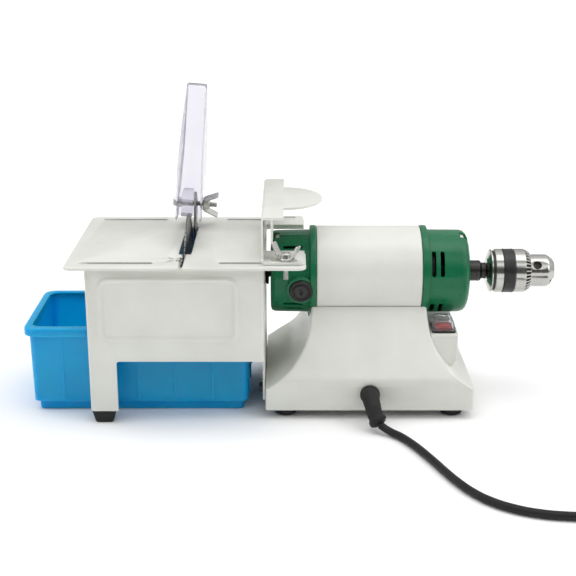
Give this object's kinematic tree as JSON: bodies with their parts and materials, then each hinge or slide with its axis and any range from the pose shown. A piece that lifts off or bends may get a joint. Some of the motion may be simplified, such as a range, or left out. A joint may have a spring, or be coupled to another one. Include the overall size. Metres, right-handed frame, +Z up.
{
  "type": "trim saw",
  "caption": "Bench lapidary trim saw: pedestal motor, sawing table with guarded blade over a water tank, drill chuck on the far shaft end.",
  "frame": {"origin": "middle of the machine's footprint, on the bench top", "axes": "+X along the motor shaft towards the drill chuck, +Y away from the operator, +Z up"},
  "size_m": [0.6015, 0.354, 0.295],
  "materials": {
    "white_enamel": "semi-gloss baked enamel",
    "green_enamel": "gloss enamel on cast end caps",
    "blue_plastic": "moulded, semi-gloss",
    "clear_plastic": "clear moulded plastic",
    "black_rubber": "matte",
    "cord_rubber": "satin",
    "steel": "machined",
    "blackened_steel": "black oxide",
    "chrome_plate": "ground and polished",
    "zinc_plate": "bright zinc plate",
    "aluminium_can": "drawn can",
    "laminations": "stacked sheet",
    "copper": "turned",
    "carbon": "carbon",
    "grey_plastic": "moulded",
    "black_plastic": "moulded",
    "red_plastic": "moulded"
  },
  "bodies": {
    "frame": {"base_casting": "white_enamel", "base_plate": "steel", "foot_front_left": "black_rubber", "foot_front_right": "black_rubber", "foot_back_left": "black_rubber", "foot_back_right": "black_rubber", "capacitor": "aluminium_can", "motor_sleeve": "white_enamel", "stator_core": "laminations", "end_cap_left": "green_enamel", "end_cap_right": "green_enamel", "cap_screw_left_1": "steel", "cap_screw_left_2": "steel", "cap_screw_right_1": "steel", "cap_screw_right_2": "steel", "bearing_left": "steel", "bearing_right": "steel", "brush_front": "carbon", "brush_back": "carbon", "cabinet": "white_enamel", "cabinet_foot_front": "black_rubber", "cabinet_foot_back": "black_rubber", "table": "white_enamel", "guard_carrier": "steel", "guard_bolt": "steel", "switch_housing": "black_plastic", "switch_boot": "clear_plastic", "strain_relief": "cord_rubber", "cord": "cord_rubber", "cord_coil": "cord_rubber", "cord_tie": "black_plastic", "plug": "cord_rubber"},
    "spindle": {"shaft": "blackened_steel", "rotor_core": "laminations", "commutator": "copper", "cooling_fan": "black_plastic", "shaft_slinger": "black_rubber", "saw_blade": "steel", "flange_inner": "steel", "flange_outer": "steel", "chuck_body": "chrome_plate"},
    "arbor_nut": {"arbor_nut": "steel"},
    "chuck_collar": {"chuck_sleeve": "chrome_plate", "chuck_band": "black_plastic"},
    "jaw_1": {"chuck_jaw_1": "blackened_steel"},
    "jaw_2": {"chuck_jaw_2": "blackened_steel"},
    "jaw_3": {"chuck_jaw_3": "blackened_steel"},
    "guard": {"guard_hood": "clear_plastic"},
    "guard_nut": {"guard_wing_nut": "zinc_plate"},
    "fence": {"fence": "white_enamel", "fence_screw": "steel"},
    "fence_nut": {"fence_wing_nut": "zinc_plate"},
    "tank": {"tank": "blue_plastic"},
    "rocker": {"rocker": "red_plastic"},
    "side_screw_front": {"side_screw_front": "blackened_steel"},
    "side_screw_back": {"side_screw_back": "blackened_steel"},
    "brush_cap_front": {"brush_cap_front": "grey_plastic"},
    "brush_cap_back": {"brush_cap_back": "grey_plastic"}
  },
  "joints": [
    {"name": "spindle_turn", "type": "hinge", "parent": "frame", "child": "spindle", "pos_m": [0.072, 0.005, 0.122], "axis": [1, 0, 0], "continuous": true},
    {"name": "arbor_nut_turn", "type": "hinge", "parent": "spindle", "child": "arbor_nut", "pos_m": [-0.108, 0.005, 0.122], "axis": [1, 0, 0], "continuous": true},
    {"name": "chuck_collar_turn", "type": "hinge", "parent": "spindle", "child": "chuck_collar", "pos_m": [0.2, 0.005, 0.122], "axis": [1, 0, 0], "range_deg": [0, 360]},
    {"name": "jaw_1_slide", "type": "slide", "parent": "spindle", "child": "jaw_1", "axis": [0, -0.1045, 0.9945], "range_m": [0, 0.005]},
    {"name": "jaw_2_slide", "type": "slide", "parent": "spindle", "child": "jaw_2", "axis": [0, 0.9135, -0.4067], "range_m": [0, 0.005]},
    {"name": "jaw_3_slide", "type": "slide", "parent": "spindle", "child": "jaw_3", "axis": [0, -0.809, -0.5878], "range_m": [0, 0.005]},
    {"name": "guard_swing", "type": "hinge", "parent": "frame", "child": "guard", "pos_m": [-0.094, 0.055, 0.176], "axis": [0.9962, 0, -0.0872], "range_deg": [0, 72]},
    {"name": "guard_nut_turn", "type": "hinge", "parent": "frame", "child": "guard_nut", "pos_m": [-0.094, 0.055, 0.176], "axis": [0.9962, 0, -0.0872], "continuous": true},
    {"name": "fence_slide", "type": "slide", "parent": "frame", "child": "fence", "axis": [1, 0, 0], "range_m": [-0.042, 0]},
    {"name": "fence_nut_turn", "type": "hinge", "parent": "fence", "child": "fence_nut", "pos_m": [-0.006, -0.072, 0.16], "axis": [0, 0, 1], "continuous": true},
    {"name": "tank_slide", "type": "slide", "parent": "frame", "child": "tank", "axis": [1, 0, 0], "range_m": [-0.04, 0]},
    {"name": "rocker_tilt", "type": "hinge", "parent": "frame", "child": "rocker", "pos_m": [0.142, -0.0305, 0.074], "axis": [1, 0, 0], "range_deg": [0, 14]},
    {"name": "side_screw_front_turn", "type": "hinge", "parent": "frame", "child": "side_screw_front", "pos_m": [-0.028, -0.045, 0.022], "axis": [1, 0, 0], "continuous": true},
    {"name": "side_screw_back_turn", "type": "hinge", "parent": "frame", "child": "side_screw_back", "pos_m": [-0.028, 0.055, 0.022], "axis": [1, 0, 0], "continuous": true},
    {"name": "brush_cap_front_turn", "type": "hinge", "parent": "frame", "child": "brush_cap_front", "pos_m": [0.008, 0.005, 0.122], "axis": [0, -0.9848, -0.1736], "continuous": true},
    {"name": "brush_cap_back_turn", "type": "hinge", "parent": "frame", "child": "brush_cap_back", "pos_m": [0.008, 0.005, 0.122], "axis": [0, 0.9848, 0.1736], "continuous": true}
  ],
  "couplings": [
    {"joint": "jaw_1_slide", "follows": "chuck_collar_turn", "m_per_rad": 0.00079},
    {"joint": "jaw_2_slide", "follows": "chuck_collar_turn", "m_per_rad": 0.00079},
    {"joint": "jaw_3_slide", "follows": "chuck_collar_turn", "m_per_rad": 0.00079}
  ]
}
